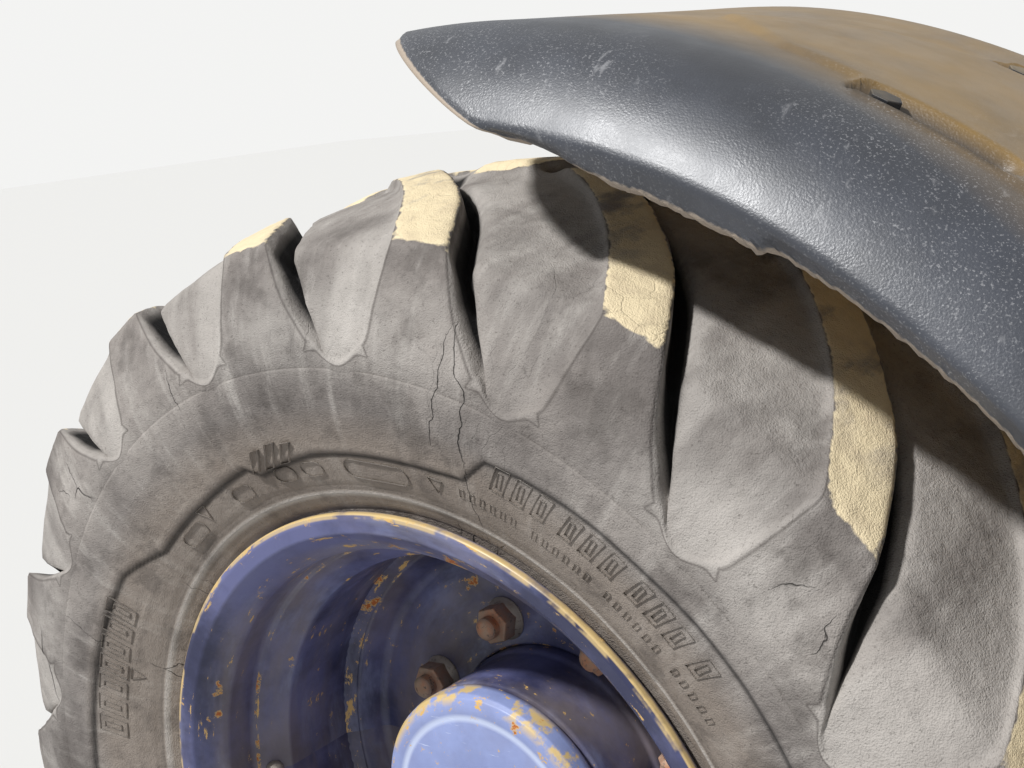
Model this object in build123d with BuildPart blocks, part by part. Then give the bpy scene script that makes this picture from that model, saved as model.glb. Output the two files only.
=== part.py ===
from build123d import *
import math
import os

os.makedirs("parts", exist_ok=True)

# Frame: the axle turns about Y. Outboard is -Y, the machine's front is -X and up is +Z.
# The origin is the centre of the axle arm's inner bolting flange. Sizes are millimetres.
wheel_inset = 450.0  # from the bolting flange to the wheel's centre plane
running_gap = 6.0  # between what turns and what stands still
fit_gap = 0.05  # radial play of a shaft in its bore
seat_gap = 0.3  # play of a bolt, spigot or bead in its seat

# Tyre 400/70 R 20, worn
tyre_radius = 517.0
tyre_half_width = 210.0
tread_half_width = 186.0
shoulder_drop = 30.0  # how much lower the tread is at its shoulder than at its crown
widest_radius = 400.0
sidewall_bow = 0.00317  # how fast the sidewall falls away from its widest place, per mm
bead_ring_radius = 297.0
casing_wall = 16.0
lug_count = 18  # on each side
lug_height = 28.0
nose_setback = 2.0  # from a lug's nose to the centre plane
groove_draft = 2.5  # how far a groove's wall leans out above and in below the tread, each way
groove_head = 14.0  # how far the cut starts above the tread

# Rim 13 x 20
rim_half_width = 165.0
rim_wall = 10.0
bead_seat_radius = 257.2
bead_seat_width = 30.0
lip_radius = 283.0
lip_width = 11.0
lip_thickness = 7.0
ridge_offset = 124.0
ridge_height = 1.0  # how far the ridge stands in from the bead seat's inside
well_offset = 98.7
well_radius = 225.5  # inside the well, where the disc is welded
well_inner_offset = 25.0
inner_seat_offset = 62.0

# Wheel disc
disc_face = 1.0  # from the wheel's centre plane, inboard positive
disc_thickness = 16.0
disc_skirt_edge = -21.0
disc_skirt_wall = 9.5
disc_dish = 14.0
stud_circle_radius = 137.5
stud_count = 8
stud_angle = 17.3
stud_radius = 10.0
stud_hole_radius = 11.5
stud_tip = -22.0
stud_head_radius = 15.0
stud_head_thickness = 6.0
nut_across_flats = 30.0
nut_height = 16.0
washer_radius = 19.0
washer_height = 5.0

# Hub and its cap
spigot_radius = 111.3
barrel_radius = 108.5
barrel_end = -76.0
hub_flange_radius = 164.0
hub_flange_thickness = 20.0
drum_radius = 140.0
drum_end = 150.0
drum_chamfer = 12.0
hub_bore_radius = 62.0
hub_bore_depth = 95.0
cap_radius = 109.4
cap_face = -100.0
cap_corner = 8.0
valve_radius = 5.0
valve_base_radius = 8.0
valve_base_height = 6.0
valve_length = 32.0
valve_shift = 0.35  # from the middle of the rim's slope towards the well
plug_radius = 12.0
plug_height = 5.0
plug_circle_radius = 70.0

# Axle arm and spindle
flange_radius = 150.0
flange_thickness = 24.0
flange_bolt_circle = 130.0
flange_bolt_count = 12
flange_hole_radius = 7.5
arm_root_radius = 98.0
arm_tip_radius = 86.0
arm_bore_radius = 48.0
tip_flange_radius = 118.0
tip_flange_thickness = 20.0
rib_count = 6
rib_thickness = 12.0
rib_length = 120.0
spindle_flange_thickness = 12.0
pad_width = 110.0
pad_length = 110.0
pad_place = -177.0
pad_top = 112.0

# Half shaft
shaft_radius = 22.0
spline_radius = 24.0
shaft_stub = 60.0  # how far the splined end stands out of the flange
bush_length = 30.0
spindle_bore_radius = 32.0

# Mudguard: its curve's centre lies behind the wheel's
guard_centre = 70.0
guard_radius = 617.0
guard_edge_radius = 542.0
guard_crease_radius = 560.0
guard_wall = 4.0
guard_inner_edge = 214.0
guard_shoulder = -125.0  # where the top starts to turn down
guard_side = -214.0
guard_turn_drop = 19.0  # how far the middle of the turn lies under the top
guard_turn_reach = 58.0
guard_tuck = 9.0  # how far the edge lies inside the crease
guard_lip = 18.0  # height of the turned-down rim along the nose
guard_inner_lip = 8.0  # the same along the inner edge, which stays above the bracket's bars
guard_plan_margin = 2.0  # between the mudguard's sides and the outline that rounds its nose
guard_nose_start = 116.0  # from the curve's centre to where the nose starts to round, rearwards
guard_nose_length = 190.0
guard_reach_angle = 100.0
guard_tail_round = 70.0
guard_tail_drop = 10.0  # how far the tail's rounded outline starts under its end, so the corners stay blunt
groove_length = 110.0
groove_width = 30.0
groove_depth = 8.0  # under the skin beside the raised panel
groove_angles = [58.5, 27.5]
groove_places = [-97.0, 138.0]  # from the wheel's centre plane
panel_height = 3.5
panel_outline = [  # from the wheel's centre rearwards, from the wheel's centre plane inboard
    (202, 20),
    (285, -62),
    (340, -78),
    (352, -116),
    (670, -116),
    (670, 157),
    (352, 157),
    (340, 119),
    (285, 103),
]

# Mudguard's bracket
bracket_plate = 12.0
bracket_plane = -210.0  # inboard face of the upright plate
bracket_bar_width = 60.0
bracket_bar_thickness = 8.0
bracket_bar_shift = 32.0  # from a groove's middle to its outer end, where the bolt is
bracket_bar_margin = 24.0  # past the middle of the outboard grooves
bracket_arc_width = 60.0
bracket_arc_margin = 9.0  # degrees past each groove's middle
bracket_leg_width = 90.0
foot_thickness = 14.0

wheel_section = Plane((0, -wheel_inset, 0), x_dir=(1, 0, 0), z_dir=(0, 0, 1))  # local x is the radius
hub_inner_face = drum_end - wheel_inset
spindle_face = hub_inner_face + running_gap
arm_tip = spindle_face + spindle_flange_thickness
spindle_end = hub_inner_face - hub_bore_depth + running_gap
bar_radius = guard_radius - groove_depth - guard_wall - seat_gap - bracket_bar_thickness / 2
bar_length = bracket_plane + wheel_inset - min(groove_places) + bracket_bar_margin
bracket_ring_radius = bar_radius  # the bars are let into the plate by half their thickness
bracket_leg_angle = sum(groove_angles) / 2


def facing_out(across):
    """Plane square to the axle that faces outboard: local x is to the rear and local y is up."""
    return Plane((0, across, 0), x_dir=(1, 0, 0), z_dir=(0, -1, 0))


def tread_radius(across):
    crown = (tread_half_width**2 + shoulder_drop**2) / (2 * shoulder_drop)
    return tyre_radius - crown + math.sqrt(crown**2 - across**2)


def sidewall(radius):
    return tyre_half_width - sidewall_bow * (radius - widest_radius) ** 2


# Tyre: the worn tread's envelope turned about the axle, with a wedge-shaped groove cut in front of each lug.
# A groove is deep under the steep back of the lug ahead of it and runs up to the front of the lug behind it.
recess_foot = 404.0  # radius where the grooves run out on the sidewall
tyre_profile = [  # radius, distance from the centre plane
    (tyre_radius, 0),
    (tread_radius(66), 66),
    (tread_radius(128), 128),
    (tread_radius(tread_half_width), tread_half_width),
    (447, sidewall(447)),
    (recess_foot, sidewall(recess_foot)),
    (370, sidewall(370)),
    (338, sidewall(338)),
    (bead_ring_radius, sidewall(bead_ring_radius)),
    (lip_radius + 2, rim_half_width - seat_gap),
    (bead_seat_radius + 8, rim_half_width - seat_gap),
    (bead_seat_radius + seat_gap, rim_half_width - 8),
    (bead_seat_radius + seat_gap, rim_half_width - 8 - bead_seat_width),
    (bead_seat_radius + 24, rim_half_width - 38),
    (338, sidewall(338) - casing_wall),
    (recess_foot, sidewall(recess_foot) - casing_wall),
    (tyre_radius - lug_height - casing_wall - 14, 112),
    (tyre_radius - lug_height - casing_wall, 0),
]

# distance from the centre plane, radius, tilt of the surface, direction of the groove's back and front edge
# from the machine's rear upwards, depth at its back and at its front
groove_sections = [
    (-nose_setback, tyre_radius, 0.0, 122.9, 136.3, 22.0, lug_height),
    (60.0, tread_radius(60.0), 5.8, 115.2, 128.8, 12.0, lug_height),
    (115.0, tread_radius(115.0), 11.2, 109.3, 122.6, 9.0, lug_height + 1),
    (tread_half_width, tread_radius(tread_half_width), 40.0, 103.6, 117.4, 8.0, lug_height + 4),
    (sidewall(450.0), 450.0, 72.0, 104.0, 115.0, 2.0, 18.0),
    (sidewall(414.0), 414.0, 86.0, 104.6, 111.6, 1.0, 6.0),
    (sidewall(399.0), 399.0, 90.0, 106.5, 109.6, -0.5, -0.5),
]

with BuildPart() as groove:
    for across, radius, tilt, back, front, back_depth, front_depth in groove_sections:
        middle = math.radians((back + front) / 2)
        half = math.radians((front - back) / 2)
        lean = math.radians(tilt)
        outward = Vector(math.cos(middle), 0, math.sin(middle))
        forward = Vector(-math.sin(middle), 0, math.cos(middle))
        normal = outward * math.cos(lean) + Vector(0, -1, 0) * math.sin(lean)
        centre = outward * radius + Vector(0, -wheel_inset - across, 0)
        reach = radius * math.sin(half)
        sag = radius * (1 - math.cos(half)) * math.cos(lean)
        with BuildSketch(Plane(centre, x_dir=forward, z_dir=forward.cross(normal))):
            with BuildLine():
                Polyline(
                    (-reach - groove_draft, groove_head),
                    (-reach + groove_draft, -sag - back_depth),
                    (reach - groove_draft, -sag - front_depth),
                    (reach + groove_draft, groove_head),
                    close=True,
                )
            make_face()
    loft(ruled=True)

lug_pitch = 360 / lug_count
outer_grooves = [groove.part.rotate(Axis.Y, -lug_pitch * place) for place in range(lug_count)]
mirror_plane = facing_out(-wheel_inset)
inner_grooves = [one.mirror(mirror_plane).rotate(Axis.Y, -lug_pitch / 2) for one in outer_grooves]

with BuildPart() as tyre:
    with BuildSketch(wheel_section):
        with BuildLine():
            left = [(radius, -across) for radius, across in tyre_profile]
            right = [(radius, across) for radius, across in reversed(tyre_profile[1:-1])]
            Polyline(*left, *right, close=True)
        make_face()
    revolve(axis=Axis.Y)
    add(outer_grooves + inner_grooves, mode=Mode.SUBTRACT)
tyre.part.label = "tyre"
export_step(tyre.part, "parts/tyre.step")

# Rim: flanges with turned lips, bead seats, the ridge and the well
with BuildPart() as rim:
    with BuildSketch(wheel_section):
        with BuildLine():
            lip_face = rim_half_width + lip_width
            seat_inside = bead_seat_radius - rim_wall
            Polyline(
                (lip_radius, -lip_face),
                (lip_radius, -lip_face + lip_thickness),
                (lip_radius - 4, -rim_half_width),
                (bead_seat_radius + 6, -rim_half_width),
                (bead_seat_radius, -rim_half_width + 7),
                (bead_seat_radius, -ridge_offset - 2),
                (well_radius + rim_wall, -well_offset),
                (well_radius + rim_wall, well_inner_offset),
                (bead_seat_radius, inner_seat_offset),
                (bead_seat_radius, rim_half_width - 7),
                (bead_seat_radius + 6, rim_half_width),
                (lip_radius - 4, rim_half_width),
                (lip_radius, lip_face - lip_thickness),
                (lip_radius, lip_face),
                (lip_radius - 17, lip_face),
                (seat_inside, rim_half_width - 15),
                (seat_inside, inner_seat_offset + 4),
                (well_radius, well_inner_offset + 4),
                (well_radius, -well_offset),
                (seat_inside - ridge_height, -ridge_offset),
                (seat_inside, -rim_half_width + 15),
                (lip_radius - 17, -lip_face),
                close=True,
            )
        make_face()
    revolve(axis=Axis.Y)
rim.part.label = "rim"
export_step(rim.part, "parts/rim.step")

# Wheel disc, welded into the well
with BuildPart() as wheel_disc:
    with BuildSketch(wheel_section):
        with BuildLine():
            Polyline(
                (well_radius, disc_skirt_edge),
                (well_radius - disc_skirt_wall, disc_skirt_edge),
                (well_radius - disc_skirt_wall - disc_dish, disc_face),
                (spigot_radius + seat_gap, disc_face),
                (spigot_radius + seat_gap, disc_face + disc_thickness),
                (well_radius - disc_dish, disc_face + disc_thickness),
                (well_radius, disc_face),
                close=True,
            )
        make_face()
    revolve(axis=Axis.Y)
    with BuildSketch(facing_out(-wheel_inset)):
        with PolarLocations(stud_circle_radius, stud_count, start_angle=stud_angle):
            Circle(stud_hole_radius)
    extrude(amount=2 * disc_thickness, both=True, mode=Mode.SUBTRACT)
wheel_disc.part.label = "wheel_disc"
export_step(wheel_disc.part, "parts/wheel_disc.step")

# Planetary hub: drum, wheel flange, spigot and barrel, with the spindle's bore
flange_front = disc_face + disc_thickness
flange_back = flange_front + hub_flange_thickness
with BuildPart() as hub:
    with BuildSketch(wheel_section):
        with BuildLine():
            Polyline(
                (0, barrel_end),
                (barrel_radius, barrel_end),
                (barrel_radius, disc_face - 12),
                (spigot_radius, disc_face - 8),
                (spigot_radius, flange_front),
                (hub_flange_radius, flange_front),
                (hub_flange_radius, flange_back),
                (drum_radius, flange_back + drum_chamfer),
                (drum_radius, drum_end - drum_chamfer),
                (drum_radius - drum_chamfer, drum_end),
                (hub_bore_radius, drum_end),
                (hub_bore_radius, drum_end - hub_bore_depth),
                (0, drum_end - hub_bore_depth),
                close=True,
            )
        make_face()
    revolve(axis=Axis.Y)
    with BuildSketch(facing_out(flange_back - wheel_inset)):
        with PolarLocations(stud_circle_radius, stud_count, start_angle=stud_angle):
            Circle(stud_radius + fit_gap)
    extrude(amount=2 * hub_flange_thickness, mode=Mode.SUBTRACT)
    with BuildSketch(facing_out(flange_back + stud_head_thickness + seat_gap - wheel_inset)):
        with PolarLocations(stud_circle_radius, stud_count, start_angle=stud_angle):
            Circle(stud_head_radius + seat_gap)
    extrude(amount=stud_head_thickness + seat_gap, mode=Mode.SUBTRACT)
hub.part.label = "hub"
export_step(hub.part, "parts/hub.step")

with BuildPart() as wheel_studs:
    with BuildSketch(facing_out(flange_back + stud_head_thickness - wheel_inset)):
        with PolarLocations(stud_circle_radius, stud_count, start_angle=stud_angle):
            Circle(stud_head_radius)
    extrude(amount=stud_head_thickness)
    with BuildSketch(facing_out(flange_back - wheel_inset)):
        with PolarLocations(stud_circle_radius, stud_count, start_angle=stud_angle):
            Circle(stud_radius)
    extrude(amount=flange_back - stud_tip)
wheel_studs.part.label = "wheel_studs"
export_step(wheel_studs.part, "parts/wheel_studs.step")

# Nuts on their conical washers
with BuildPart() as wheel_nuts:
    with BuildSketch(facing_out(disc_face - wheel_inset)):
        with PolarLocations(stud_circle_radius, stud_count, start_angle=stud_angle):
            Circle(washer_radius)
    extrude(amount=washer_height, taper=30)
    with BuildSketch(facing_out(disc_face - washer_height - wheel_inset)):
        with PolarLocations(stud_circle_radius, stud_count, start_angle=stud_angle):
            RegularPolygon(nut_across_flats / 2, 6, major_radius=False)
    extrude(amount=nut_height)
    with BuildSketch(facing_out(disc_face - wheel_inset)):
        with PolarLocations(stud_circle_radius, stud_count, start_angle=stud_angle):
            Circle(stud_radius + fit_gap)
    extrude(amount=washer_height + nut_height, mode=Mode.SUBTRACT)
wheel_nuts.part.label = "wheel_nuts"
export_step(wheel_nuts.part, "parts/wheel_nuts.step")

# Cover on the hub's outboard end
with BuildPart() as hub_cap:
    with BuildSketch(facing_out(barrel_end - wheel_inset)):
        Circle(cap_radius)
    extrude(amount=barrel_end - cap_face)
    fillet(hub_cap.edges().sort_by(Axis.Y)[0], cap_corner)
hub_cap.part.label = "hub_cap"
export_step(hub_cap.part, "parts/hub_cap.step")

with BuildPart() as oil_plug:
    with BuildSketch(facing_out(cap_face - wheel_inset)):
        with Locations((0, -plug_circle_radius)):
            RegularPolygon(plug_radius, 6, major_radius=False)
    extrude(amount=plug_height)
oil_plug.part.label = "oil_plug"
export_step(oil_plug.part, "parts/oil_plug.step")

# Tyre valve on the slope between ridge and well
ridge_radius = bead_seat_radius - rim_wall - ridge_height
slope = Vector(ridge_offset - well_offset, well_radius - ridge_radius, 0)
valve_place = (-(ridge_radius + well_radius) / 2 + valve_shift, -wheel_inset - (ridge_offset + well_offset) / 2, 0)
with BuildPart() as valve:
    with BuildSketch(Plane(valve_place, z_dir=slope)):
        Circle(valve_base_radius)
    extrude(amount=valve_base_height)
    with BuildSketch(Plane(valve_place, z_dir=slope)):
        Circle(valve_radius)
    extrude(amount=valve_length)
valve.part.label = "valve"
export_step(valve.part, "parts/valve.step")

# Axle arm: bolting flange, ribbed taper, and the pad that carries the mudguard's bracket
with BuildPart() as axle_arm:
    with BuildSketch(Plane.XY):
        with BuildLine():
            Polyline(
                (arm_bore_radius, 0),
                (flange_radius, 0),
                (flange_radius, -flange_thickness),
                (arm_root_radius, -flange_thickness),
                (arm_tip_radius, arm_tip + tip_flange_thickness),
                (tip_flange_radius, arm_tip + tip_flange_thickness),
                (tip_flange_radius, arm_tip),
                (arm_bore_radius, arm_tip),
                close=True,
            )
        make_face()
    revolve(axis=Axis.Y)
    with BuildSketch(Plane.XY):
        with BuildLine():
            Polyline(
                (arm_bore_radius + 10, -flange_thickness + 1),
                (flange_radius - 14, -flange_thickness + 1),
                (arm_tip_radius, -rib_length),
                (arm_bore_radius + 10, -rib_length),
                close=True,
            )
        make_face()
    ribs = extrude(amount=rib_thickness / 2, both=True)
    for place in range(1, rib_count):
        add(ribs.rotate(Axis.Y, 360 / rib_count * place))
    with BuildSketch(Plane.XY.offset(pad_top)):
        with Locations((0, pad_place)):
            Rectangle(pad_width, pad_length)
    extrude(amount=-pad_top + arm_bore_radius + 20)
    with BuildSketch(Plane.XZ):
        with PolarLocations(flange_bolt_circle, flange_bolt_count, start_angle=15):
            Circle(flange_hole_radius)
    extrude(amount=flange_thickness, mode=Mode.SUBTRACT)
axle_arm.part.label = "axle_arm"
export_step(axle_arm.part, "parts/axle_arm.step")

# Spindle on the arm's tip, running in the hub
with BuildPart() as spindle:
    with BuildSketch(Plane.XY):
        with BuildLine():
            Polyline(
                (spindle_bore_radius, arm_tip),
                (tip_flange_radius, arm_tip),
                (tip_flange_radius, spindle_face),
                (hub_bore_radius - fit_gap, spindle_face),
                (hub_bore_radius - fit_gap, spindle_end),
                (shaft_radius + fit_gap, spindle_end),
                (shaft_radius + fit_gap, spindle_end + bush_length),
                (spindle_bore_radius, spindle_end + bush_length),
                close=True,
            )
        make_face()
    revolve(axis=Axis.Y)
spindle.part.label = "spindle"
export_step(spindle.part, "parts/spindle.step")

# Half shaft through the arm, with its splined end standing out of the flange
with BuildPart() as half_shaft:
    with BuildSketch(facing_out(shaft_stub)):
        Circle(spline_radius)
    extrude(amount=shaft_stub)
    with BuildSketch(facing_out(0)):
        Circle(shaft_radius)
    extrude(amount=-spindle_end)
half_shaft.part.label = "half_shaft"
export_step(half_shaft.part, "parts/half_shaft.step")

# Mudguard: a moulded shell turned about its own centre, its nose rounded in plan and turned down at the rim,
# with a raised panel on top and sunk grooves that rest on the bracket's bars
guard_axis = Axis((guard_centre, 0, 0), (0, -1, 0))
guard_section = Plane((guard_centre, -wheel_inset, 0), x_dir=(1, 0, 0), z_dir=(0, 0, 1))
guard_plan = Plane((guard_centre, -wheel_inset, 0))
half_plan = guard_inner_edge + guard_plan_margin


def guard_curve():
    """Line of the mudguard's skin, from its inner edge over the top and down to its trimmed edge."""
    Line((guard_radius, guard_inner_edge), (guard_radius, guard_shoulder))
    ThreePointArc(
        (guard_radius, guard_shoulder),
        (guard_radius - guard_turn_drop, guard_shoulder - guard_turn_reach),
        (guard_crease_radius, guard_side),
    )
    Line((guard_crease_radius, guard_side), (guard_edge_radius, guard_side + guard_tuck))


def groove_plane(angle, across, height):
    """Plane along the mudguard's top at a groove, raised by a height; local x is to the front."""
    turn = math.radians(angle)
    upward = Vector(math.cos(turn), 0, math.sin(turn))
    forward = Vector(-math.sin(turn), 0, math.cos(turn))
    middle = Vector(guard_centre, -wheel_inset + across, 0) + upward * (guard_radius + height)
    return Plane(middle, x_dir=forward, z_dir=upward)


with BuildPart() as nose_rim:
    with BuildSketch(guard_section):
        with BuildLine():
            guard_curve()
            offset(amount=guard_lip, side=Side.RIGHT)
        make_face()
    revolve(axis=guard_axis, revolution_arc=guard_reach_angle)
    with BuildSketch(guard_plan):
        with Locations((guard_nose_start, 0)):
            Ellipse(guard_nose_length, half_plan)
            Ellipse(guard_nose_length - guard_wall, half_plan - guard_wall, mode=Mode.SUBTRACT)
        with Locations((guard_nose_start - guard_nose_length / 2, 0)):
            Rectangle(guard_nose_length, 2 * half_plan, mode=Mode.INTERSECT)
    extrude(amount=2 * guard_radius, mode=Mode.INTERSECT)

with BuildPart() as top_panel:
    with BuildSketch(guard_section):
        with Locations((guard_radius - guard_wall / 2, 0)):
            Rectangle(panel_height + guard_wall / 2, 2 * guard_inner_edge, align=(Align.MIN, Align.CENTER))
    revolve(axis=guard_axis, revolution_arc=guard_reach_angle)
    with BuildSketch(Plane((0, -wheel_inset, 0))):
        with BuildLine():
            Polyline(*panel_outline, close=True)
        make_face()
    extrude(amount=2 * guard_radius, mode=Mode.INTERSECT)

with BuildPart() as mudguard:
    with BuildSketch(guard_section):
        with BuildLine():
            guard_curve()
            offset(amount=guard_wall, side=Side.RIGHT)
        make_face()
        with Locations((guard_radius, guard_inner_edge)):
            Rectangle(guard_inner_lip, guard_wall, align=(Align.MAX, Align.MAX))
    revolve(axis=guard_axis, revolution_arc=guard_reach_angle)
    with BuildSketch(guard_plan):
        with Locations((guard_nose_start, 0)):
            Ellipse(guard_nose_length, half_plan)
            Rectangle(2 * guard_radius, 2 * half_plan, align=(Align.MIN, Align.CENTER))
    extrude(amount=2 * guard_radius, mode=Mode.INTERSECT)
    with BuildSketch(Plane((guard_centre, -wheel_inset, -guard_tail_drop), x_dir=(0, 1, 0), z_dir=(1, 0, 0))) as tail:
        Rectangle(2 * half_plan, 2 * guard_radius, align=(Align.CENTER, Align.MIN))
        fillet(tail.vertices().group_by(Axis.Z)[0], guard_tail_round)
    extrude(amount=2 * guard_radius, both=True, mode=Mode.INTERSECT)
    add(nose_rim.part)
    add(top_panel.part)
    for angle in groove_angles:
        for across in groove_places:
            with BuildSketch(groove_plane(angle, across, -guard_wall / 2 - 2)):
                SlotOverall(groove_length + 2 * guard_wall, groove_width + 2 * guard_wall)
            extrude(amount=guard_wall / 2 + 2 - groove_depth - guard_wall)
            with BuildSketch(groove_plane(angle, across, -groove_depth)):
                SlotOverall(groove_length, groove_width)
            extrude(amount=groove_depth + 3 * panel_height, mode=Mode.SUBTRACT)
mudguard.part.label = "mudguard"
export_step(mudguard.part, "parts/mudguard.step")

# Bracket: foot on the arm's pad, upright plate beside the tyre, and bars under the mudguard's top
with BuildPart() as guard_bracket:
    with BuildSketch(facing_out(bracket_plane)):
        with Locations((guard_centre, 0)):
            Circle(bracket_ring_radius)
            Circle(bracket_ring_radius - bracket_arc_width, mode=Mode.SUBTRACT)
        with BuildLine():
            Polyline((guard_centre, 0), *[
                (
                    guard_centre + 2 * guard_radius * math.cos(math.radians(angle)),
                    2 * guard_radius * math.sin(math.radians(angle)),
                )
                for angle in (
                    groove_angles[1] - bracket_arc_margin,
                    bracket_leg_angle,
                    groove_angles[0] + bracket_arc_margin,
                )
            ], close=True)
        make_face(mode=Mode.INTERSECT)
        with BuildLine():
            leg = math.radians(bracket_leg_angle)
            top_x = guard_centre + (bracket_ring_radius - bracket_arc_width / 2) * math.cos(leg)
            top_z = (bracket_ring_radius - bracket_arc_width / 2) * math.sin(leg)
            half = bracket_leg_width / 2
            Polyline(
                (-pad_width / 2, pad_top),
                (pad_width / 2, pad_top),
                (pad_width / 2, pad_top + foot_thickness),
                (top_x + half * math.sin(leg), top_z - half * math.cos(leg)),
                (top_x - half * math.sin(leg), top_z + half * math.cos(leg)),
                (-pad_width / 2, pad_top + 3 * foot_thickness),
                close=True,
            )
        make_face()
    extrude(amount=bracket_plate)
    with BuildSketch(Plane.XY.offset(pad_top)):
        with Locations((0, (bracket_plane + pad_place + pad_length / 2) / 2)):
            Rectangle(pad_width, pad_place + pad_length / 2 - bracket_plane)
    extrude(amount=foot_thickness)
    for angle, shift in zip(groove_angles, (bracket_bar_shift, -bracket_bar_shift)):
        turn = math.radians(angle)
        along = Vector(-math.sin(turn), 0, math.cos(turn))
        middle = Vector(guard_centre + bar_radius * math.cos(turn), bracket_plane, bar_radius * math.sin(turn))
        with BuildSketch(Plane(middle + along * shift, x_dir=along, z_dir=(0, -1, 0))):
            Rectangle(bracket_bar_width, bracket_bar_thickness)
        extrude(amount=bar_length)
guard_bracket.part.label = "guard_bracket"
export_step(guard_bracket.part, "parts/guard_bracket.step")
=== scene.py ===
from math import atan2, cos, degrees, hypot, pi, radians, sin, sqrt

import bmesh
import bpy
from mathutils import Matrix, Vector, noise


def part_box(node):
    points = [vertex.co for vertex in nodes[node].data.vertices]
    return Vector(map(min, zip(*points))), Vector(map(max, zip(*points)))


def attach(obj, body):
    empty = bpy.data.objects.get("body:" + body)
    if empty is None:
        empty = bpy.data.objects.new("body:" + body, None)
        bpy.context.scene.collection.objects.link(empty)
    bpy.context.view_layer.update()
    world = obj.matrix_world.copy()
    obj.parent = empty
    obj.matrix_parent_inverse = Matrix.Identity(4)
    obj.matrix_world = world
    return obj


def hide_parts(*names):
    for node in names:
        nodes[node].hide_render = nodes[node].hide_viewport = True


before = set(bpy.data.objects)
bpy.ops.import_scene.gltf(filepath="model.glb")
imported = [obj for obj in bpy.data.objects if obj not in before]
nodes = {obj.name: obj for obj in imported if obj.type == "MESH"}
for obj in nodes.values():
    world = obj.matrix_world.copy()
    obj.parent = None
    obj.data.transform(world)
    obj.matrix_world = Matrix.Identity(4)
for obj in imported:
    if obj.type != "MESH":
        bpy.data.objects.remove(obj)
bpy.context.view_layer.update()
print("frame loaded")

scene = bpy.context.scene
mm = 0.001
wheelPlane = -450.0  # the wheel's centre plane, from the bolting flange


# meshes

def blend(low, high, share):
    return low + (high - low) * share


def ease(value):
    value = min(max(value, 0.0), 1.0)
    return value * value * (3 - 2 * value)


def follow(table, value):  # reads a table of (place, height) pairs between its entries
    for (a, low), (b, high) in zip(table, table[1:]):
        if value <= b:
            return blend(low, high, (value - a) / (b - a))
    return table[-1][1]


# millimetres round the axle to a place in the frame; the angle runs from the rear upwards
def wheelPoint(radius, across, angle):
    return Vector((radius * cos(angle), wheelPlane + across, radius * sin(angle))) * mm


# spins (radius, across) points once round the axle; each point keeps its number in the layer row
def lathe(profile, steps, closed=True):
    bm = bmesh.new()
    row = bm.verts.layers.int.new("row")
    verts = [bm.verts.new(wheelPoint(radius, across, 0)) for radius, across in profile]
    for number, vert in enumerate(verts):
        vert[row] = number
    ends = verts[1:] + verts[:1] if closed else verts[1:]
    edges = [bm.edges.new(pair) for pair in zip(verts, ends)]
    bmesh.ops.spin(
        bm, geom=verts + edges, cent=(0, 0, 0), axis=(0, -1, 0), angle=2 * pi, steps=steps, use_merge=True,
    )
    bmesh.ops.remove_doubles(bm, verts=bm.verts, dist=0.00001)
    bmesh.ops.recalc_face_normals(bm, faces=bm.faces)
    return bm


def newObject(name, data):
    made = bpy.data.objects.new(name, data)
    scene.collection.objects.link(made)
    return made


def newMesh(bm, name, material):
    mesh = bpy.data.meshes.new(name)
    bm.to_mesh(mesh)
    bm.free()
    mesh.materials.append(material)
    return mesh


# turns a bmesh into a finished piece that rides on a body
def makePiece(bm, name, body, material, sharp=35, bevel=0.0):
    mesh = newMesh(bm, name, material)
    mesh.shade_smooth()
    mesh.set_sharp_from_angle(angle=radians(sharp))
    piece = newObject(name, mesh)
    if bevel:
        edge = piece.modifiers.new("softEdges", "BEVEL")
        edge.width = bevel * mm
        edge.segments = 3
        edge.limit_method = "ANGLE"
        edge.angle_limit = radians(25)
        edge.harden_normals = True
    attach(piece, body)
    return piece


# materials

work = {}  # the node tree, look and colour that the functions below add to


def colour(red, green, blue):  # a colour as it is seen on screen, given for the shader
    parts = [channel / 255 for channel in (red, green, blue)]
    return (*[part / 12.92 if part <= 0.04045 else ((part + 0.055) / 1.055) ** 2.4 for part in parts], 1)


def add(kind, sockets, **settings):
    tree = work["tree"]
    made = tree.nodes.new("ShaderNode" + kind)
    for name, value in settings.items():
        setattr(made, name, value)
    for name, value in sockets.items():
        if isinstance(value, bpy.types.NodeSocket):
            tree.links.new(value, made.inputs[name])
        else:
            made.inputs[name].default_value = value
    return made.outputs


def maths(operation, first, second=0.0, clamp=False):
    return add("Math", {0: first, 1: second}, operation=operation, use_clamp=clamp)[0]


def plus(first, second, clamp=False):
    return maths("ADD", first, second, clamp)


def minus(first, second):
    return maths("SUBTRACT", first, second)


def times(first, second):
    return maths("MULTIPLY", first, second)


def stretch(value, low, high, start=0.0, end=1.0, way="LINEAR"):
    sockets = {"Value": value, "From Min": low, "From Max": high, "To Min": start, "To Max": end}
    return add("MapRange", sockets, interpolation_type=way)["Result"]


def between(mask, start, end):
    return stretch(mask, 0.0, 1.0, start, end)


def near(value, spot, outer, inner, most=1.0):  # a soft line where a value passes a spot
    return stretch(maths("ABSOLUTE", minus(value, spot)), outer, inner, 0.0, most)


def mixed(share, first, second):
    return add("Mix", {0: share, 6: first, 7: second}, data_type="RGBA")[2]


def squeezed(vector, scale, turn=(0.0, 0.0, 0.0)):
    return add("Mapping", {"Vector": vector, "Scale": scale, "Rotation": turn})[0]


def cloud(vector, scale, detail, roughness=0.5, output=0):
    sockets = {"Vector": vector, "Scale": scale, "Detail": detail, "Roughness": roughness}
    return add("TexNoise", sockets)[output]


def painted(name):  # a mask that a piece's own vertices carry
    return add("Attribute", {}, attribute_name=name)["Fac"]


def geometry(output):
    return add("NewGeometry", {})[output]


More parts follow.
